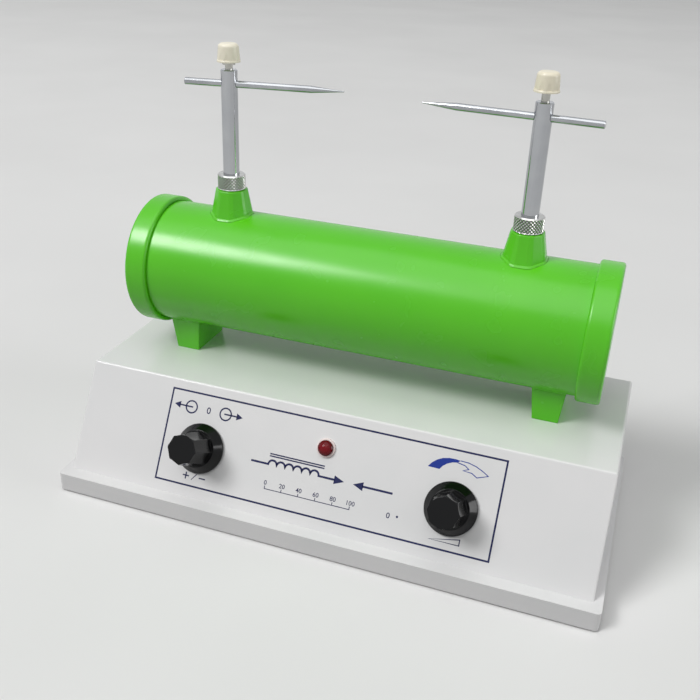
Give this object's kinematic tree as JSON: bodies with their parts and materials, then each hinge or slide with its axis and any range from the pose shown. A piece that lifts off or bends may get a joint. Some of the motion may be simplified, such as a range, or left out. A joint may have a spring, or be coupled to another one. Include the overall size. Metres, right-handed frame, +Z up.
{
  "type": "induction coil",
  "caption": "Classroom induction coil: a tube with core and windings on a sloping-front control box, with two turning posts that hold pointed rods across a spark gap.",
  "frame": {"origin": "middle of the base's footprint, on the surface that the rubber feet stand on", "axes": "+X along the coil to the viewer's right, -Y out of the sloping front panel, +Z up"},
  "size_m": [0.3, 0.1491, 0.2387],
  "materials": {
    "white_moulding": "glossy injection moulding",
    "grey_plate": "matt moulding",
    "zinc_screws": "zinc plated",
    "foot_rubber": "moulded",
    "black_nylon": "satin moulding",
    "pale_bezel": "glossy moulding",
    "red_lens": "glossy translucent moulding",
    "bulb_glass": "clear",
    "switch_plastic": "satin moulding",
    "nickel_brass": "nickel plated, satin",
    "control_plastic": "satin moulding",
    "green_moulding": "glossy moulding",
    "iron": "varnished bundle",
    "card_former": "varnished",
    "enamelled_wire": "enamelled copper wire",
    "insulation": "smooth",
    "former_plastic": "satin moulding",
    "brass_insert": "turned",
    "lead_sleeving": "smooth silicone",
    "board_laminate": "solder resist",
    "white_nylon": "satin",
    "capacitor_case": "sleeved can",
    "sink_aluminium": "extruded",
    "black_epoxy": "moulded",
    "resistor_ceramic": "fired, matt",
    "fuse_glass": "clear with plated ends",
    "terminal_plastic": "satin moulding",
    "wire_insulation": "smooth",
    "chrome_plate": "bright chrome plate",
    "knurled_chrome": "knurled and plated",
    "polished_rod": "polished",
    "ivory_plastic": "satin moulding",
    "black_bakelite": "polished phenolic moulding",
    "spindle_brass": "turned"
  },
  "bodies": {
    "console": {"base_housing": "white_moulding", "bottom_plate": "grey_plate", "bottom_screws": "zinc_screws", "rubber_feet": "foot_rubber", "cable_gland": "black_nylon", "gland_nut": "black_nylon", "lamp_bezel": "pale_bezel", "lamp_lens": "red_lens", "lamp_bulb": "bulb_glass", "polarity_switch_body": "switch_plastic", "polarity_switch_nut": "nickel_brass", "voltage_control_body": "control_plastic", "voltage_control_nut": "nickel_brass", "coil_tube": "green_moulding", "left_end_cap": "green_moulding", "right_end_cap": "green_moulding", "coil_foot_screws": "zinc_screws", "iron_core": "iron", "primary_former": "card_former", "primary_winding": "enamelled_wire", "insulating_sleeve": "insulation", "secondary_former": "former_plastic", "secondary_winding": "enamelled_wire", "left_core_support": "card_former", "right_core_support": "card_former", "left_terminal_insert": "brass_insert", "right_terminal_insert": "brass_insert", "left_high_voltage_lead": "lead_sleeving", "right_high_voltage_lead": "lead_sleeving", "primary_leads": "lead_sleeving", "circuit_board": "board_laminate", "board_standoffs": "white_nylon", "board_screws": "zinc_screws", "discharge_capacitor": "capacitor_case", "heat_sink": "sink_aluminium", "thyristor": "black_epoxy", "power_resistor": "resistor_ceramic", "fuse_clips": "brass_insert", "fuse_link": "fuse_glass", "mains_terminal_block": "terminal_plastic", "control_wires": "wire_insulation"},
    "left_post": {"left_post": "chrome_plate", "left_collar": "knurled_chrome"},
    "left_electrode": {"left_electrode": "polished_rod"},
    "left_clamp_shank": {"left_clamp_screw": "nickel_brass"},
    "left_clamp_cap": {"left_clamp_cap": "ivory_plastic"},
    "right_post": {"right_post": "chrome_plate", "right_collar": "knurled_chrome"},
    "right_electrode": {"right_electrode": "polished_rod"},
    "right_clamp_shank": {"right_clamp_screw": "nickel_brass"},
    "right_clamp_cap": {"right_clamp_cap": "ivory_plastic"},
    "polarity_knob": {"polarity_knob": "black_bakelite", "polarity_spindle": "spindle_brass", "polarity_grub_screw": "zinc_screws"},
    "voltage_knob": {"voltage_knob": "black_bakelite", "voltage_spindle": "spindle_brass", "voltage_grub_screw": "zinc_screws"}
  },
  "joints": [
    {"name": "left_post_turn", "type": "hinge", "parent": "console", "child": "left_post", "pos_m": [-0.0815, 0.0169, 0.1618], "axis": [0, 0, 1], "continuous": true},
    {"name": "left_electrode_slide", "type": "slide", "parent": "left_post", "child": "left_electrode", "axis": [0.9857, 0.1685, 0], "range_m": [-0.036, 0.018]},
    {"name": "left_clamp_lift", "type": "slide", "parent": "left_post", "child": "left_clamp_shank", "axis": [0, 0, 1], "range_m": [0, 0.00105]},
    {"name": "left_clamp_turn", "type": "hinge", "parent": "left_clamp_shank", "child": "left_clamp_cap", "pos_m": [-0.0815, 0.0169, 0.23], "axis": [0, 0, 1], "range_deg": [0, 542]},
    {"name": "right_post_turn", "type": "hinge", "parent": "console", "child": "right_post", "pos_m": [0.0815, 0.0169, 0.1618], "axis": [0, 0, 1], "continuous": true},
    {"name": "right_electrode_slide", "type": "slide", "parent": "right_post", "child": "right_electrode", "axis": [-0.9973, 0.0732, 0], "range_m": [-0.036, 0.018]},
    {"name": "right_clamp_lift", "type": "slide", "parent": "right_post", "child": "right_clamp_shank", "axis": [0, 0, 1], "range_m": [0, 0.00105]},
    {"name": "right_clamp_turn", "type": "hinge", "parent": "right_clamp_shank", "child": "right_clamp_cap", "pos_m": [0.0815, 0.0169, 0.23], "axis": [0, 0, 1], "range_deg": [0, 542]},
    {"name": "polarity_turn", "type": "hinge", "parent": "console", "child": "polarity_knob", "pos_m": [-0.0703, -0.05044, 0.03522], "axis": [0, 0.8659, -0.5003], "range_deg": [-30, 30]},
    {"name": "voltage_turn", "type": "hinge", "parent": "console", "child": "voltage_knob", "pos_m": [0.0703, -0.05044, 0.03522], "axis": [0, 0.8659, -0.5003], "range_deg": [0, 300]}
  ],
  "couplings": [
    {"joint": "left_clamp_turn", "follows": "left_clamp_lift", "rad_per_m": 8976},
    {"joint": "right_clamp_turn", "follows": "right_clamp_lift", "rad_per_m": 8976}
  ]
}
